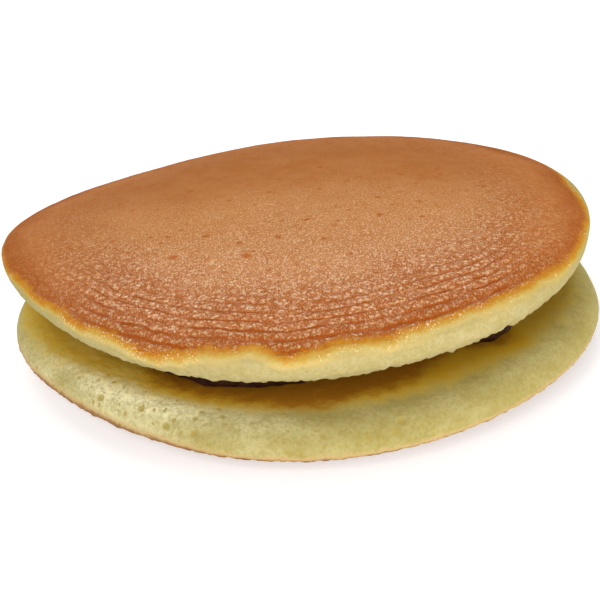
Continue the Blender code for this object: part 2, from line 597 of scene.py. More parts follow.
@dataclass(frozen=True)
class CakeFinish:
    """Browned crust on one side of a cake, and pale crumb on the other.

    Attributes:
        name: Name of the material.
        pores: Place and radius of the larger pores in the crust.
        sparkling: Strength of the painted glints along the crust's edge.
        smooth: Crust where it is smooth.
        centre: Crust in the middle, where it is rougher.
        band: Crust in the ring of fine rows near the rim.
        shade: Dark grain of the crust.
        groove: Cracks and the grooves between the rows.
        spot: Pores in the crust.
        rim: Dark outermost crust.
        painted_glint: Painted glints on the crust's light grain and dome tops.
        amber: Thin crust where it ends.
        gold: Crumb along the crust's end.
        fleck: Painted glints, as bright flecks along the crust's edge.
        crumb: Crumb, its lighter patches.
        crumb_shade: Crumb, its darker patches.
        glistening_web: Pale walls of the rough crumb, painted light as glistening highlights and where
            the crumb is lit.
        pore: Pores in the crumb.
        moist_and_shade: Crumb with a little moisture, and painted olive golden shade under the upper
            cake's rim.
        stain_and_shade: Crumb that is golden from the paste, and deeper painted shade under the upper
            cake's rim.
        soaked: Crumb that is brown from the paste.
    """

    name: str
    pores: tuple[tuple[Place, float], ...] = ()
    sparkling: float = 0.75
    smooth: Colour = (0.395, 0.134, 0.029)
    centre: Colour = (0.497, 0.206, 0.059)
    band: Colour = (0.55, 0.202, 0.053)
    shade: Colour = (0.30, 0.090, 0.016)
    groove: Colour = (0.32, 0.062, 0.003)
    spot: Colour = (0.41, 0.105, 0.012)
    rim: Colour = (0.335, 0.071, 0.003)
    painted_glint: Colour = (0.80, 0.560, 0.335)
    amber: Colour = (0.46, 0.180, 0.012)
    gold: Colour = (0.45, 0.285, 0.032)
    fleck: Colour = (0.88, 0.74, 0.46)
    crumb: Colour = (0.366, 0.296, 0.121)
    crumb_shade: Colour = (0.332, 0.260, 0.083)
    glistening_web: Colour = (0.88, 0.805, 0.49)
    pore: Colour = (0.38, 0.28, 0.055)
    moist_and_shade: Colour = (0.52, 0.365, 0.050)
    stain_and_shade: Colour = (0.52, 0.280, 0.010)
    soaked: Colour = (0.29, 0.108, 0.007)

    def spots(self, bench: Bench, inside: Signal) -> Signal:
        """Pores of the crust: the larger ones at their places, and smaller ones all over.

        Args:
            bench: The material's bench.
            inside: Distance inside the crust's end, in millimetres.

        Returns:
            1 in the pores and 0 beside them.
        """
        uneven = bench.warped(0.9, 0.7)
        spacing = 2.3
        scattered, colour = bench.cells(spacing, uneven)
        chosen, size, _ = bench.split(colour)
        spot = (scattered * spacing - size * 0.35).ease(0.42, 0.05) * chosen.ease(0.15, 0.85) * 0.85
        for place, radius in self.pores:
            spot = spot.most((bench.away_from(place, uneven) / radius).ease(1.3, 0.5))
        return spot * inside.ease(7.0, 13.0)

    def crust(self, bench: Bench, grains: Grains, marks: CrustMarks) -> bpy.types.NodeSocket:
        """Colour of the browned side, with painted glints.

        Args:
            bench: The material's bench.
            grains: The noises.
            marks: What lies where on the crust.

        Returns:
            The colour.
        """
        inside, coarse_and_glinting, band = marks.inside, marks.coarse_and_glinting, marks.band
        cloud = (grains.patch * 0.6 + grains.drift * 0.5).ease(0.42, 0.72)
        middle = bench.mix(self.smooth, self.centre, coarse_and_glinting.ease(0.10, 0.75))
        body = bench.mix(self.band, middle, (inside + (grains.patch - 0.5) * 12.0).ease(3.0, 20.0))
        body = bench.mix(body, self.rim, marks.edge * 0.9)
        dark = (grains.grain + grains.fleck * 0.2).ease(0.68, 0.46) * (0.55 + band * 0.40) * coarse_and_glinting
        dark = dark.most((1.0 - cloud) * 0.20) + band * (1.0 - coarse_and_glinting) * 0.38
        body = bench.mix(body, self.shade, dark)
        # Painted highlights: the light grain and the dome tops take the colour of the glints, tinted
        # golden near the rim and brighter along the middles of the rows, where the ridges catch the
        # light; the clouds add a faint wash of it.
        near_rows = inside.ease(20.0, 9.0) * coarse_and_glinting
        lit = 1.0 - (1.0 - marks.wander.fold(0.5).ease(0.03, 0.32)) * near_rows * 0.6
        light = (marks.glint_speck * (0.46 + band * 0.42)).most(marks.domes * 0.45) * lit
        shine = bench.mix(self.painted_glint, self.gold, marks.edge * 0.4)
        body = bench.mix(body, shine, light.most(cloud * 0.05))
        body = bench.mix(body, self.groove, marks.cracks * 0.9)
        return bench.mix(body, self.spot, marks.spot)

    def inner(self, bench: Bench, grains: Grains, coarse_and_glinting: Signal) -> bpy.types.NodeSocket:
        """Colour of the crumb, with its pores, the stains from the paste, and painted shade and
        glistening.

        Args:
            bench: The material's bench.
            grains: The noises.
            coarse_and_glinting: How rough the surface is, and how much glistening is painted on it, from
                0 to 1.

        Returns:
            The colour.
        """
        grain, fleck, drift = grains.grain, grains.fleck, grains.drift
        pore, stain_and_shade, soak = (bench.stored(name) for name in ("pore", "stain_and_shade", "soak"))
        soft = (fleck * 0.5 + drift * 0.4 + grain * 0.25).ease(0.36, 0.76)
        crumb = bench.mix(self.crumb_shade, self.crumb, soft)
        hole = pore * (fleck * 2.6 - 0.35) + (grain - 0.5) * 0.2
        crumb = bench.mix(crumb, self.pore, hole.ease(0.15, 0.75) * 0.85)
        # Painted glistening and light: the pale crumb walls, strongest where the crumb is rough and lit,
        # and on the inner crumb in the upper cake's shade.
        pale = (drift * 0.35 + fleck * 0.60 + grain * 0.40).ease(0.46, 0.90) * 0.62 + 0.30
        crumb = bench.mix(crumb, self.glistening_web, pale * coarse_and_glinting * (1.0 - hole.ease(0.1, 0.6) * 0.8))
        mottle = (fleck - 0.5) * 0.5 + (drift - 0.5) * 0.9
        golden = stain_and_shade + mottle * stain_and_shade.ease(0.0, 0.35)
        brown = soak + mottle * soak.ease(0.0, 0.35)
        # Golden crumb: stains from the paste, and painted shade under the upper cake's rim.
        crumb = bench.mix(crumb, self.moist_and_shade, golden.ease(0.0, 0.95) * 0.88)
        crumb = bench.mix(crumb, self.stain_and_shade, golden.ease(0.35, 1.50) * 0.9)
        return bench.mix(crumb, self.soaked, brown.ease(0.0, 1.0) * 0.94)

    def material(self) -> bpy.types.Material:
        """Builds the material.

        Returns:
            The material, which reads crust, rows, pore, stain_and_shade, soak and coarse_and_glinting
            from the mesh.
        """
        bench = Bench(self.name)
        inside, rows, coarse_and_glinting = (bench.stored(name) for name in ("crust", "rows", "coarse_and_glinting"))
        grains = Grains(
            grain=bench.noise(0.27, 1.0, 0.8, bench.stretched((1.0, 0.55, 1.0))),
            fleck=bench.noise(0.70, 2.0, 0.6),
            drift=bench.noise(2.6, 2.0, 0.5),
            patch=bench.noise(8.0, 3.0, 0.55),
        )
        grain, fleck, drift, patch = grains.grain, grains.fleck, grains.drift, grains.patch
        blister, _ = bench.cells(0.90, bench.warped(1.3, 0.6))
        frayed = inside + (fleck - 0.5) * 2.2 + (grain - 0.5) * 0.8 + (drift - 0.5) * 1.2

        band = (inside + (patch - 0.5) * 8.0).ease(25.0, 9.0)
        wander = rows + (fleck - 0.5) * 0.20 + (drift - 0.5) * 0.30
        width = 0.12 + inside.ease(9.0, 0.5) * 0.14
        line = (wander.fold(0.5) / width).ease(1.0, 0.3) * (0.4 + patch.ease(0.36, 0.52) * 0.6)
        line = line * inside.ease(19.0, 7.0) * (0.05 + coarse_and_glinting.ease(0.40, 1.0) * 0.95)
        between = (blister + (grain - 0.5) * 0.7).ease(0.36, 0.62) * band * (0.08 + coarse_and_glinting * 0.52)
        marks = CrustMarks(
            inside=inside,
            coarse_and_glinting=coarse_and_glinting,
            band=band,
            edge=(frayed + (patch - 0.5) * 4.0).ease(7.0, 1.0),
            wander=wander,
            cracks=between.most(line),
            domes=(blister + (grain - 0.5) * 0.5).ease(0.36, 0.12) * band * coarse_and_glinting,
            glint_speck=(grain + fleck * 0.2).ease(0.58, 0.80) * coarse_and_glinting,
            spot=self.spots(bench, inside),
        )

        crumb = self.inner(bench, grains, coarse_and_glinting)
        crumb = bench.mix(crumb, self.gold, frayed.ease(-3.0, -0.7) * 0.9)
        crumb = bench.mix(crumb, self.amber, frayed.ease(-1.3, 0.3))
        surface = bench.mix(crumb, self.crust(bench, grains, marks), frayed.ease(0.1, 1.2))
        # Painted glints: bright flecks along the crust's edge.
        fringe = inside.ease(-2.4, -1.4) * inside.ease(1.2, 0.0)
        sparkle = fringe * (grain + fleck * 0.3).ease(0.70, 0.88)
        sparkle = sparkle * (drift + (patch - 0.5) * 0.4).ease(0.44, 0.62)
        surface = bench.mix(surface, self.fleck, sparkle * self.sparkling)

        browned = inside.ease(-0.8, 0.8)
        fine = (grain - 0.5) * (0.04 + browned * (0.10 + band * 0.20) * coarse_and_glinting)
        middling = browned * (0.03 + band * 0.13) * (0.15 + coarse_and_glinting * 0.85)
        crinkle = fine + (fleck - 0.5) * (0.05 + middling)
        deep = marks.domes * 0.14 - line * 0.16 - between * 0.12 - marks.spot * 0.12
        bench.relief(crinkle + deep * browned)
        gloss = (0.10 + marks.glint_speck.most(marks.domes) * 0.45) * (1.0 - marks.cracks * 0.9)
        bench.set(
            Base_Color=surface,
            Roughness=0.66 + (fleck - 0.5) * 0.2,
            Coat_Weight=frayed.ease(-2.6, -1.0) * coarse_and_glinting * gloss,
            Coat_Roughness=0.25,
            Subsurface_Weight=0.15,
            Subsurface_Radius=(1.0, 0.6, 0.25),
            Subsurface_Scale=0.0012,
            Specular_IOR_Level=0.02,
        )
        return bench.material


@dataclass(frozen=True)
class PasteFinish:
    """Moist dark bean paste, coarse with skins.

    Attributes:
        name: Name of the material.
        dark: Its darker lumps.
        light: Its lighter lumps.
    """

    name: str = "bean_paste_finish"
    dark: Colour = (0.018, 0.006, 0.004)
    light: Colour = (0.055, 0.020, 0.014)

    def material(self) -> bpy.types.Material:
        """Builds the material.

        Returns:
            The material.
        """
        bench = Bench(self.name)
        lump = bench.noise(2.2, 3.0, 0.6)
        grain = bench.noise(0.5, 3.0, 0.65)
        skins, _ = bench.cells(1.6)
        bench.relief((grain - 0.5) * 0.25 + skins * 0.12)
        bench.set(
            Base_Color=bench.mix(self.dark, self.light, (lump * 0.6 + grain * 0.5).ease(0.35, 0.8)),
            Roughness=0.35 + grain * 0.3,
            Specular_IOR_Level=0.12,
        )
        return bench.material


@dataclass(frozen=True)
class FloorFinish:
    """Pale matt light table.

    Attributes:
        name: Name of the material.
        colour: Its own colour.
        glow: Strength of its even white light.
    """

    name: str = "pale_floor"
    colour: Colour = (0.66, 0.66, 0.66)
    glow: float = 0.48

    def material(self) -> bpy.types.Material:
        """Builds the material.

        Returns:
            The material.
        """
        bench = Bench(self.name)
        bench.set(Base_Color=self.colour, Roughness=0.8, Specular_IOR_Level=0.2)
        bench.set(Emission_Color=(1.0, 1.0, 1.0), Emission_Strength=self.glow)
        return bench.material


# The dorayaki's own pieces


class CrustSide(Enum):
    """Which way a cake's browned face looks."""

    UP = "up"
    DOWN = "down"


@dataclass
class Cake:
    """What both cakes share.

    Attributes:
        name: Name of the piece.
        node: The solid that it stands for.
        slot: The record's material slot. Not used.
        outline: Waves of the outline, as shares of the radius.
        warp: Waves of the rim up and down.
        place: Where its axis meets its widest plane or its flat spot.
        radius: Radius to the widest ring.
        edge_rounding: Exponent that rounds the shoulders.
        segments: Segments round the axis.
        row_spacing: Distance between the fine rows of the crust at the back.
        front_widening: How much further apart they are at the front, for each way of the crust.
    """

    name: str
    node: str
    slot: str
    outline: tuple[Wave, ...]
    warp: tuple[Wave, ...]
    place: Place
    radius: float = 50.0
    edge_rounding: float = 1.6
    segments: int = 640
    row_spacing: float = 1.35
    front_widening: ClassVar[dict[CrustSide, float]] = {CrustSide.UP: 0.85, CrustSide.DOWN: 0.2}

    def shoulder(self, share: float, exponent: float) -> float:
        """Height of a rounded dome, 1 in its middle and 0 where share reaches 1."""
        return max(0.0, 1.0 - share ** exponent) ** (1.0 / self.edge_rounding)

    def make_uneven(self, skin: Skin, flat_radius: float) -> None:
        """Gives the outline its waves and the rim its rise and fall.

        Args:
            skin: The points of the cake.
            flat_radius: Radius inside which nothing rises or falls.
        """
        lift = np.maximum(0.0, skin.radius - flat_radius) / (self.radius - flat_radius)
        share = np.minimum(1.0, skin.radius / self.radius)
        skin.points[:, :2] *= (1.0 + wave_sum(self.outline, skin.angle) * share)[:, None]
        skin.points[:, 2] += wave_sum(self.warp, skin.angle) * lift ** 2

    def rows_of(self, skin: Skin, from_rim: np.ndarray, side: CrustSide) -> np.ndarray:
        """Number of the fine row that each point lies in, counted from the rim.

        Args:
            skin: The points of the cake.
            from_rim: Distance of each point from the widest ring, along the crust.
            side: Which way the crust looks.

        Returns:
            A number that grows by 1 from one row's middle to the next one's.
        """
        front = (0.5 - 0.5 * np.sin(skin.angle)) ** 2
        spacing = self.row_spacing + self.front_widening[side] * front
        wobble = 0.8 * ripple(skin.points, 11.0, 5.0) + 0.35 * ripple(skin.points, 3.4, 6.0)
        return (from_rim + wobble) / spacing

    def dress(self, piece: bpy.types.Object, finish: CakeFinish) -> None:
        """Gives the piece its finish and its place in the frame.

        Args:
            piece: The finished mesh.
            finish: Its finish.
        """
        piece.data.materials.append(finish.material())
        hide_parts(self.node)
        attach(piece, "root")
        LOG.info("%s: %d faces", piece.name, len(piece.data.polygons))


@dataclass
class UpperCake(Cake):
    """The cake on top, crust up, tipped back so that its front rim is raised.

    Attributes:
        crown_height: Height of the crown above the widest ring.
        crown_exponent: Exponent of the crown's section, flatter in the middle where it is higher.
        wall_depth: How far the wall goes down from the widest ring.
        wall_inset: How far the wall's foot lies inside the widest ring.
        hollow: How far the underside rises towards its middle.
        tilt_about_x: Tip in radians, below 0 where the front is raised.
        tilt_about_y: Tip in radians, below 0 where the right side is raised.
        crust_reach: How far inside the widest ring the crust mostly ends.
        scallops: Where the crust ends further in or, below 0, further out.
        pores: The larger pores in the crust.
        middle_radius: Radius of the crown's middle, which has wider rings.
        middle_pitch: Distance between the rings in the crown's middle.
        crust_pitch: The same in the rest of the crown.
        wall_pitch: The same on the wall.
        lip_pitch: The same on the underside's visible edge.
        hidden_pitch: The same on the rest of the underside.
        lip_share: Share of the underside's radius where its visible edge starts.
        wall_pores: Number of small pores in the wall.
    """

    crown_height: float = 5.9
    crown_exponent: float = 2.37
    wall_depth: float = 4.1
    wall_inset: float = 3.0
    hollow: float = 3.0
    tilt_about_x: float = math.radians(-3.24)
    tilt_about_y: float = math.radians(-1.44)
    middle_radius: float = 24.0
    middle_pitch: float = 0.8
    crust_pitch: float = 0.33
    wall_pitch: float = 0.27
    lip_pitch: float = 0.5
    hidden_pitch: float = 3.0
    lip_share: float = 0.88
    wall_pores: int = 130
    crust_reach: float = 0.9
    scallops: tuple[Bump, ...] = (
        (-150.0, 6.0, -0.7),
        (-136.0, 4.0, -0.9),
        (-118.0, 5.0, -1.3),
        (-107.0, 5.0, 0.9),
        (-99.0, 3.6, 2.0),
        (-89.5, 2.7, 0.1),
        (-83.0, 5.0, 1.8),
        (-63.0, 13.0, 1.9),
        (-45.0, 9.0, 0.7),
        (10.0, 7.0, 1.2),
        (38.0, 9.0, 1.6),
        (75.0, 12.0, 0.9),
        (104.0, 5.0, 1.5),
        (139.0, 8.0, 1.3),
        (178.0, 14.0, -1.1),
        (-164.0, 8.0, -0.5),
    )
    pores: tuple[Pit, ...] = (
        (-135.0, 28.5, 0.85),
        (-111.0, 23.6, 0.90),
        (-139.0, 20.1, 0.75),
        (-109.0, 22.0, 0.36),
        (-101.0, 15.9, 0.70),
        (-80.0, 9.7, 0.65),
        (-119.0, 18.9, 0.62),
        (-148.0, 26.6, 0.42),
        (-151.0, 24.5, 0.42),
        (-155.0, 26.9, 0.32),
        (-144.0, 28.5, 0.36),
        (-85.0, 38.3, 0.80),
        (-71.0, 25.3, 0.36),
        (-35.0, 16.8, 0.60),
        (5.0, 31.7, 0.42),
        (-51.0, 30.5, 0.36),
    )

    def section(self) -> HalfSection:
        """Half section of the cake.

        Returns:
            Its crust, wall and hollow underside.
        """
        lip = self.radius - self.wall_inset

        def crown(angle: float) -> tuple[float, float]:
            """Place on the crust."""
            reach = math.sin(angle)
            return self.radius * reach, self.crown_height * self.shoulder(reach, self.crown_exponent)

        def wall(angle: float) -> tuple[float, float]:
            """Place on the wall."""
            inset = self.wall_inset * (1 - math.cos(angle))
            return self.radius - inset, -self.wall_depth * math.sin(angle)

        def under(share: float) -> tuple[float, float]:
            """Place on the underside."""
            raised = self.hollow * (0.5 + 0.5 * math.cos(math.pi * share))
            return lip * share, -self.wall_depth + raised

        border = math.asin(self.middle_radius / self.radius)
        return HalfSection(
            (
                Stretch(curve(0.0, border, crown), self.middle_pitch),
                Stretch(curve(border, math.pi / 2, crown), self.crust_pitch),
                Stretch(curve(0.0, math.pi / 2, wall), self.wall_pitch),
                Stretch(curve(1.0, self.lip_share, under), self.lip_pitch),
                Stretch(curve(self.lip_share, 0.0, under), self.hidden_pitch),
            ),
            rim_after=2,
        )

    def relief(
        self, skin: Skin, inside: np.ndarray, rows: np.ndarray, nearness: np.ndarray
    ) -> np.ndarray:
        """Height of the waves, crinkles and fine rows of the crust, and of the ragged lip.

        Args:
            skin: The points of the cake.
            inside: How far inside the crust's end each point lies.
            rows: Number of the fine row that it lies in.
            nearness: 1 at the front, where the crust is rougher, and 0 at the back.

        Returns:
            How far each point moves outwards.
        """
        below = skin.past_rim
        band = ease(inside, 19.0, 6.0) * ease(inside, -0.5, 1.0)
        height = 0.16 * ripple(skin.points, 16.0, 6.0) + 0.06 * ripple(skin.points, 5.0, 7.0)
        crinkled = 0.12 * ripple(skin.points, 1.5, 8.0) + 0.10 * ripple(skin.points, 0.8, 9.0)
        faint_rows = 0.035 * (1.0 - nearness) * np.cos(2 * np.pi * rows)
        height += band * ((0.2 + 0.8 * nearness) * crinkled - faint_rows)
        height -= 0.09 * band * nearness * groove(rows)
        lip = ease(below, 2.6, 4.8) * ease(below, 9.0, 6.4)
        ragged = 0.26 * ripple(skin.points, 2.9, 10.0) + 0.42 * ripple(skin.points, 1.0, 11.0)
        height += lip * (ragged - 0.28 * ease(ripple(skin.points, 1.5, 13.0), 0.15, 0.4))
        height += ease(below, -0.5, 1.5) * 0.06 * ripple(skin.points, 1.3, 12.0)
        return height

    def build(self) -> bpy.types.Object:
        """Models the piece and dresses it.

        Returns:
            The finished piece.
        """
        section = self.section()
        skin = Skin(section.turn(self.name, self.segments), section)
        below = skin.past_rim
        edge = self.crust_reach + bumps(skin.angle, self.scallops)
        edge += 0.55 * ripple(skin.points, 6.0, 3.0) + 0.45 * ripple(skin.points, 2.2, 4.0)
        inside = -below - edge
        rows = self.rows_of(skin, -below, CrustSide.UP)
        forward = skin.points[:, 1] + 7.0 * ripple(skin.points, 14.0, 14.0)
        nearness = ease(forward, 22.0, -22.0) * ease(np.abs(skin.points[:, 0]), 52.0, 26.0)
        inside = np.where(inside < 0.0, inside * (2.2 - 1.2 * nearness), inside)
        skin.push(self.relief(skin, inside, rows, nearness))
        wall = ease(below, 0.6, 2.0) + NEARLY_NONE
        middles = skin.scatter(wall, self.wall_pores, 21)
        pore = skin.pit(middles, np.linspace(0.2, 0.42, len(middles)), 0.3)

        self.make_uneven(skin, 0.0)
        tilt = Matrix.Rotation(self.tilt_about_x, 3, "X") @ Matrix.Rotation(self.tilt_about_y, 3, "Y")
        skin.points = skin.points @ np.array(tilt).T + np.array(self.place)
        skin.store("crust", inside)
        skin.store("rows", rows)
        skin.store("pore", pore * 0.6)
        # Grain and glints are painted strongest at the front, where the light catches them; the bump and
        # coat follow the same share.
        skin.store("coarse_and_glinting", (0.12 + 0.88 * nearness) * (0.16 + 0.84 * ease(inside, -2.5, -1.0)))
        damp = ease(skin.radius, 45.0, 39.0) * ease(below, 4.0, 6.0)
        skin.store("stain_and_shade", 1.2 * damp)
        skin.store("soak", damp)
        skin.finish()
        places = [tuple(skin.points[middle].tolist()) for middle in skin.find(self.pores)]
        pores = tuple(zip(places, (size for _, _, size in self.pores)))
        self.dress(skin.piece, CakeFinish("upper_cake_finish", pores))
        return skin.piece


@dataclass
class LowerCake(Cake):
    """The cake underneath, crust down on its flat spot, with its crumb showing.

    Attributes:
        belly_height: Height of the widest ring above the flat spot.
        belly_exponent: Exponent of the belly's section, flatter in the middle where it is higher.
        flat_radius: Radius of the flat spot.
        wall_height: How far the wall rises above the widest ring.
        wall_inset: How far the wall's top lies inside the widest ring.
        dish: How far the top face is pressed down in its middle.
        hidden_radius: Radius inside which the top face is never seen.
        hidden_pitch: Distance between the rings there.
        face_pitch: The same on the rest of the top face.
        wall_pitch: The same on the wall.
        crust_pitch: The same on the crust near the rim.
        belly_pitch: The same on the rest of the belly.
        flat_pitch: The same on the flat spot.
        crust_share: Share of the belly's width where the finer rings of the crust start.
        strewn_pores: Number of small pores in the crumb.
        crust_reach: How far above the widest ring the crust ends.
        crust_rises: Where it ends higher.
        rough_and_lit_patch: Where the crumb is rough and pale, with painted glistening and painted
            light.
        pores: The larger pores in the crumb.
        stains: Where the crumb is stained golden further from the paste.
        soaks: Where the brown that the paste has soaked into the crumb does.
        stain_and_shade_radius: Radius of the golden crumb, stain and painted shade, at the front and
            back.
        stain_and_shade_left: How much further it reaches at the left, as painted shade under the upper
            cake's rim.
        stain_and_shade_right: How much further it reaches at the right, likewise.
    """

    belly_height: float = 4.5
    belly_exponent: float = 1.43
    flat_radius: float = 22.0
    wall_height: float = 4.0
    wall_inset: float = 6.0
    dish: float = 0.7
    hidden_radius: float = 30.0
    hidden_pitch: float = 3.0
    face_pitch: float = 0.36
    wall_pitch: float = 0.25
    crust_pitch: float = 0.28
    belly_pitch: float = 0.8
    flat_pitch: float = 2.5
    crust_share: float = 0.75
    strewn_pores: int = 190
    crust_reach: float = -0.32
    crust_rises: tuple[Bump, ...] = ((-140.0, 32.0, 0.75),)
    rough_and_lit_patch: tuple[Bump, ...] = ((-137.0, 30.0, 0.88),)
    stain_and_shade_radius: float = 43.4
    stain_and_shade_left: float = 7.6
    stain_and_shade_right: float = 4.4
    pores: tuple[Pit, ...] = (
        (-125.0, 47.6, 0.59),
        (-122.0, 47.2, 0.37),
        (-120.0, 46.4, 0.33),
        (-135.0, 48.4, 0.63),
        (-118.0, 48.9, 0.59),
        (-117.0, 47.8, 0.44),
        (-115.0, 49.1, 0.33),
        (-113.0, 46.7, 0.44),
        (-112.0, 48.9, 0.44),
        (-108.0, 45.3, 0.44),
        (-97.0, 41.8, 0.41),
        (-90.0, 47.2, 0.26),
        (-89.0, 48.0, 0.44),
        (-74.0, 47.6, 0.63),
        (-76.0, 48.9, 0.48),
        (-81.0, 48.8, 0.44),
        (-66.0, 48.2, 0.26),
        (-66.0, 49.8, 0.37),
        (-56.0, 48.2, 0.37),
        (-60.0, 48.4, 0.30),
        (-71.0, 48.9, 0.26),
    )
    stains: tuple[Bump, ...] = (
        (-124.0, 12.0, 2.4),
        (-104.0, 20.0, 1.7),
        (-86.0, 10.0, 1.2),
        (-62.0, 20.0, 4.4),
    )
    soaks: tuple[Bump, ...] = (
        (-124.0, 10.0, 1.6),
        (-110.0, 14.0, 1.6),
        (-89.0, 12.0, 4.8),
        (-68.0, 14.0, 4.0),
        (-36.0, 14.0, -1.6),
    )

    def section(self) -> HalfSection:
        """Half section of the cake.

        Returns:
            Its top face, wall, belly and flat spot.
        """
        lip = self.radius - self.wall_inset
        width = self.radius - self.flat_radius

        def face(share: float) -> tuple[float, float]:
            """Place on the top face."""
            pressed = self.dish * (0.5 + 0.5 * math.cos(math.pi * share))
            return lip * share, self.belly_height + self.wall_height - pressed

        def wall(angle: float) -> tuple[float, float]:
            """Place on the wall."""
            inset = self.wall_inset * (1 - math.cos(angle))
            return self.radius - inset, self.belly_height + self.wall_height * math.sin(angle)

        def belly(angle: float) -> tuple[float, float]:
            """Place on the belly.

            Args:
                angle: 0 at the flat spot and a quarter turn at the widest ring.

            Returns:
                Its radius and height.
            """
            reach = math.sin(angle)
            height = self.belly_height * (1 - self.shoulder(reach, self.belly_exponent))
            return self.flat_radius + width * reach, height

        hidden = self.hidden_radius / lip
        border = math.asin(self.crust_share)
        return HalfSection(
            (
                Stretch(curve(0.0, hidden, face), self.hidden_pitch),
                Stretch(curve(hidden, 1.0, face), self.face_pitch),
                Stretch(curve(math.pi / 2, 0.0, wall), self.wall_pitch),
                Stretch(curve(math.pi / 2, border, belly), self.crust_pitch),
                Stretch(curve(border, 0.0, belly), self.belly_pitch),
                Stretch(((self.flat_radius, 0.0), (0.0, 0.0)), self.flat_pitch),
            ),
            rim_after=3,
        )

    def relief(self, skin: Skin, rows: np.ndarray, crumb: np.ndarray, rough: np.ndarray) -> np.ndarray:
        """Height of the crumb's grain and of the crust's bumps and fine rows.

        Args:
            skin: The points of the cake.
            rows: Number of the fine row that each point lies in.
            crumb: 1 on the crumb and 0 on the crust.
            rough: How rough the crumb is, from 0 to 1.

        Returns:
            How far each point moves outwards.
        """
        below = skin.past_rim
        height = crumb * 0.14 * ripple(skin.points, 9.0, 36.0)
        grainy = 0.08 * ripple(skin.points, 1.7, 37.0) + 0.10 * ripple(skin.points, 0.8, 38.0)
        height += crumb * rough * grainy
        browned = ease(below, -0.5, 0.6) * ease(skin.radius, self.flat_radius, self.flat_radius + 4.0)
        crust_bumps = 0.20 * ripple(skin.points, 1.9, 39.0) + 0.24 * ripple(skin.points, 0.9, 40.0)
        height += browned * crust_bumps * ease(below, 12.0, 2.0)
        height -= 0.06 * browned * groove(rows)
        return height

    def mark_stains_and_shade(self, skin: Skin, paste_reach: Callable[[np.ndarray], np.ndarray]) -> None:
        """Stores how golden and how brown the crumb is around the paste; the golden is partly painted
        shade under the upper cake's rim.

        Args:
            skin: The points of the cake, in their place.
            paste_reach: Gives the paste's radius at each angle.
        """
        past_paste = skin.radius - paste_reach(skin.angle)
        stain_and_shade = ease(past_paste - bumps(skin.angle, self.stains), 3.4, -4.0)
        soak = ease(past_paste - bumps(skin.angle, self.soaks), 3.4, -3.4)
        # The golden ring is paste stains and painted shade; it reaches further at the left and right,
        # where the upper cake's rim shades the crumb.
        turned = turned_by(skin.angle, -88.0)
        aside = np.abs(turned)
        sideways = ease(aside, 10.0, 105.0) * ease(aside, 160.0, 105.0)
        further = np.where(turned < 0.0, self.stain_and_shade_left, self.stain_and_shade_right) * sideways
        stain_and_shade += ease(skin.radius - self.stain_and_shade_radius - further, 2.8, -5.0)
        face = ease(skin.past_rim, -1.0, -3.5)
        skin.store("stain_and_shade", stain_and_shade * face)
        skin.store("soak", soak * face)

    def build(self, paste_reach: Callable[[np.ndarray], np.ndarray]) -> bpy.types.Object:
        """Models the piece and dresses it.

        Args:
            paste_reach: Gives the paste's radius at each angle.

        Returns:
            The finished piece.
        """
        section = self.section()
        skin = Skin(section.turn(self.name, self.segments), section)
        below = skin.past_rim
        edge = self.crust_reach + bumps(skin.angle, self.crust_rises)
        edge += 0.18 * ripple(skin.points, 7.0, 33.0) + 0.20 * ripple(skin.points, 1.6, 34.0)
        inside = (below + edge) * 2.4
        rows = self.rows_of(skin, below, CrustSide.DOWN)

        crumb = ease(below, 0.6, -1.2)
        # The crumb is rougher at the left front, and painted paler there, as lit and glistening.
        coarse_and_glinting = 0.12 + bumps(skin.angle, self.rough_and_lit_patch)
        rough = 0.35 + 0.65 * coarse_and_glinting
        skin.push(self.relief(skin, rows, crumb, rough))
        known = skin.find(self.pores)
        shown = crumb * ease(skin.radius, 33.0, 37.0)
        strewn = skin.scatter(shown * rough ** 2 + NEARLY_NONE, self.strewn_pores, 41)
        radii = 0.16 + 0.30 * np.random.default_rng(42).random(len(strewn)) ** 3
        sizes = np.concatenate([[size for _, _, size in self.pores], radii])
        pore = skin.pit(np.concatenate([known, strewn]), sizes, 0.35)

        self.make_uneven(skin, self.flat_radius)
        skin.points += np.array(self.place)
        skin.store("crust", inside)
        skin.store("rows", rows)
        skin.store("pore", pore)
        self.mark_stains_and_shade(skin, paste_reach)
        # Painted light: more of the pale crumb walls on the inner crumb, which lies in the upper cake's
        # shade.
        coarse_and_glinting *= 0.66 + 0.66 * ease(below, -2.5, -5.5)
        skin.store("coarse_and_glinting", coarse_and_glinting * (0.35 + 0.65 * ease(ripple(skin.points, 7.0, 43.0), -0.4, 0.2)))
        skin.finish()
        finish = CakeFinish(
            "lower_cake_finish",
            sparkling=0.0,
            smooth=(0.28, 0.105, 0.035),
            centre=(0.28, 0.105, 0.035),
            band=(0.32, 0.145, 0.048),
            rim=(0.28, 0.125, 0.040),
            painted_glint=(0.40, 0.20, 0.09),
            shade=(0.20, 0.085, 0.026),
            groove=(0.15, 0.062, 0.018),
            amber=(0.28, 0.150, 0.055),
            gold=(0.49, 0.335, 0.145),
            crumb=(0.360, 0.303, 0.104),
            crumb_shade=(0.312, 0.244, 0.062),
        )
        self.dress(skin.piece, finish)
        return skin.piece


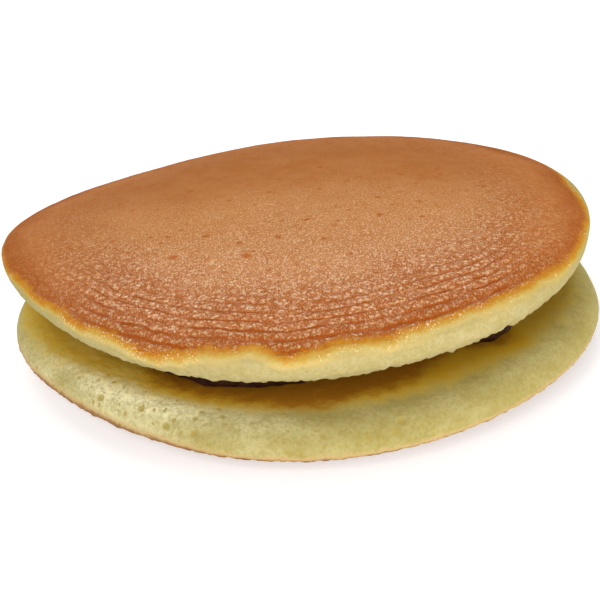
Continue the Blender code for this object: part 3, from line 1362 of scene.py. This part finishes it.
@dataclass
class BeanPaste:
    """The layer of paste, squeezed out unevenly under the upper rim.

    Attributes:
        name: Name of the piece.
        radius: Radius between its swells.
        swells: Where it comes out further.
        side_inset: How far its top and bottom edges draw in, as a share of its radius.
        face_pitch: Distance between the rings on its top and bottom, as a share of its radius.
        side_pitch: The same on its side.
        bite: How far it presses into each cake's crumb.
        segments: Segments round the axis.
        middle_height: A height that is between the two cakes everywhere.
        lump_radius: Radius of the cylinder on which the pattern of its lumps is taken.
        lump_height: Height of that cylinder, as a share of its radius.
    """

    name: str = "red_bean_paste"
    radius: float = 33.5
    swells: tuple[Bump, ...] = (
        (-128.0, 16.0, 4.4),
        (-103.0, 18.0, 4.5),
        (-72.0, 13.0, 1.2),
        (-37.0, 8.5, 7.6),
        (-5.0, 26.0, 2.2),
        (62.0, 30.0, 3.0),
        (118.0, 20.0, 1.7),
        (176.0, 24.0, 2.7),
    )
    side_inset: float = 0.10
    face_pitch: float = 0.1
    side_pitch: float = 0.025
    bite: float = 0.25
    segments: int = 384
    middle_height: float = 11.6
    lump_radius: float = 34.0
    lump_height: float = 0.3

    def reach(self, angle: np.ndarray) -> np.ndarray:
        """Radius of the paste at each angle."""
        return self.radius + bumps(angle, self.swells)

    def section(self) -> HalfSection:
        """Half section of the paste.

        Returns:
            Its top, round side and bottom, 1 across and 1 up.
        """
        edge = 1.0 - self.side_inset

        def side(angle: float) -> tuple[float, float]:
            """Place on the side."""
            return edge + self.side_inset * math.sin(angle), 0.5 + 0.5 * math.cos(angle)

        return HalfSection(
            (
                Stretch(((0.0, 1.0), (edge, 1.0)), self.face_pitch),
                Stretch(curve(0.0, math.pi / 2, side), self.side_pitch),
                Stretch(curve(math.pi / 2, math.pi, side), self.side_pitch),
                Stretch(((edge, 0.0), (0.0, 0.0)), self.face_pitch),
            ),
            rim_after=2,
        )

    def build(self, lower: bpy.types.Object, upper: bpy.types.Object) -> bpy.types.Object:
        """Models the paste between the two cakes and dresses it.

        Args:
            lower: The lower cake.
            upper: The upper cake.

        Returns:
            The finished piece.
        """
        section = self.section()
        skin = Skin(section.turn(self.name, self.segments), section)
        across = np.hypot(skin.points[:, 0], skin.points[:, 1])
        up = skin.points[:, 2].copy()
        around = np.stack([np.cos(skin.angle), np.sin(skin.angle), up * self.lump_height], axis=1)
        around *= self.lump_radius
        lumpy = 1.3 * ripple(around, 6.5, 51.0) + 0.8 * ripple(around, 2.6, 52.0)
        lumpy += 0.35 * ripple(around, 1.2, 53.0)
        reach = across * self.reach(skin.angle) + lumpy * ease(across, 0.8, 0.97)
        roof_tree, floor_tree = (self.tree(cake) for cake in (upper, lower))
        for index, (angle, radius, share) in enumerate(zip(skin.angle, reach, up)):
            right, back = radius * math.cos(angle), radius * math.sin(angle)
            start = Vector((right, back, self.middle_height)) * MM
            roof = roof_tree.ray_cast(start, Vector((0, 0, 1)))[0].z / MM + self.bite
            floor = floor_tree.ray_cast(start, Vector((0, 0, -1)))[0].z / MM - self.bite
            skin.points[index] = (start.x / MM, start.y / MM, floor + (roof - floor) * share)
        skin.finish()
        piece = skin.piece
        piece.data.materials.append(PasteFinish().material())
        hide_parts("bean_paste")
        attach(piece, "root")
        LOG.info("%s: %d faces", piece.name, len(piece.data.polygons))
        return piece

    @staticmethod
    def tree(piece: bpy.types.Object) -> BVHTree:
        """Search tree over a piece's faces."""
        corners = [vertex.co for vertex in piece.data.vertices]
        return BVHTree.FromPolygons(corners, [face.vertices[:] for face in piece.data.polygons])


# Floor, light and camera


@dataclass(frozen=True)
class Softbox:
    """A rectangular light that faces the dorayaki.

    Attributes:
        name: Its name.
        place: Where it hangs, in metres.
        width: Its width in metres.
        height: Its height in metres.
        power: Its power in watts.
    """

    name: str
    place: Place
    width: float
    height: float
    power: float

    def build(self) -> None:
        """Adds the light."""
        data = bpy.data.lights.new(self.name, "AREA")
        data.shape = "RECTANGLE"
        data.size, data.size_y, data.energy = self.width, self.height, self.power
        light = bpy.data.objects.new(self.name, data)
        bpy.context.scene.collection.objects.link(light)
        light.location = self.place
        light.rotation_euler = (-Vector(self.place)).to_track_quat("-Z", "Y").to_euler()


@dataclass
class Studio:
    """A pale floor, soft light and the camera at the photograph's angle.

    Attributes:
        softboxes: The lights.
        sky: Strength of the even white light from all round.
        elevation: Camera's angle above the floor, in degrees.
        roll: Camera's turn about its line of sight, in degrees; the right side of the picture rises.
        distance: Camera's distance from the point that it looks at.
        target: The point that the camera looks at.
        focal_pixels: Focal length in pixels of the picture.
        picture_pixels: Width of the picture in pixels.
        sensor: Width of the camera's sensor.
        near: Nearest distance that the camera sees, in metres.
        floor_size: Width of the floor in metres.
    """

    softboxes: tuple[Softbox, ...] = (
        Softbox("front", (-0.28, -0.80, 0.52), 0.6, 0.5, 8.0),
        Softbox("back", (-0.15, 0.58, 0.68), 0.9, 0.6, 4.7),
        Softbox("side", (0.78, -0.50, 0.22), 0.5, 0.4, 5.9),
    )
    sky: float = 0.30
    elevation: float = 26.03
    roll: float = 3.14
    distance: float = 340.0
    target: Place = (-0.4, 0.2, 6.15)
    focal_pixels: float = 1962.0
    picture_pixels: float = 600.0
    sensor: float = 36.0
    near: float = 0.01
    floor_size: float = 6.0

    def camera(self) -> None:
        """Adds the camera."""
        data = bpy.data.cameras.new("camera")
        data.sensor_width = self.sensor
        data.lens = self.sensor * self.focal_pixels / self.picture_pixels
        data.clip_start = self.near
        camera = bpy.data.objects.new("camera", data)
        bpy.context.scene.collection.objects.link(camera)
        pitch = Matrix.Rotation(math.radians(90.0 - self.elevation), 4, "X")
        turn = pitch @ Matrix.Rotation(math.radians(-self.roll), 4, "Z")
        back = turn @ Vector((0.0, 0.0, self.distance * MM))
        camera.matrix_world = Matrix.Translation(Vector(self.target) * MM + back) @ turn
        bpy.context.scene.camera = camera

    def floor(self) -> None:
        """Adds the floor."""
        bpy.ops.object.select_all(action="DESELECT")
        bpy.ops.mesh.primitive_plane_add(size=self.floor_size)
        floor = bpy.context.object
        floor.name = "floor"
        floor.data.materials.append(FloorFinish().material())

    def surroundings(self) -> None:
        """Adds an even white sky."""
        world = bpy.data.worlds.new("surroundings")
        world.use_nodes = True
        world.node_tree.nodes["Background"].inputs["Color"].default_value = (1.0, 1.0, 1.0, 1.0)
        world.node_tree.nodes["Background"].inputs["Strength"].default_value = self.sky
        bpy.context.scene.world = world

    def build(self) -> None:
        """Sets the stage."""
        self.floor()
        self.surroundings()
        for softbox in self.softboxes:
            softbox.build()
        self.camera()
        bpy.context.scene.view_settings.view_transform = "Standard"
        LOG.info("studio: floor, lights and camera are set")


def main() -> None:
    """Builds the dorayaki and its stage."""
    logging.basicConfig(level=logging.INFO, format="%(name)s %(message)s")
    paste = BeanPaste()
    upper = UpperCake(
        name="upper_griddle_cake",
        node="upper_pancake",
        slot="upper_cake",
        outline=((2, -0.0015, 0.0007), (3, -0.0053, 0.0073), (4, 0.0027, -0.0031), (5, -0.0072, 0.0044)),
        warp=((2, 1.13, 0.59), (3, -0.25, -0.35)),
        place=(-0.1, 1.0, 18.58),
    ).build()
    lower = LowerCake(
        name="lower_griddle_cake",
        node="lower_pancake",
        slot="lower_cake",
        outline=((2, -0.0044, -0.0034), (3, -0.0017, 0.0067), (4, 0.0081, 0.0), (5, -0.0031, -0.0027)),
        warp=((2, 0.15, 0.09), (3, 0.05, -0.19)),
        place=(0.9, 0.2, 0.0),
    ).build(paste.reach)
    paste.build(lower, upper)
    Studio().build()


if __name__ == "__main__":
    main()
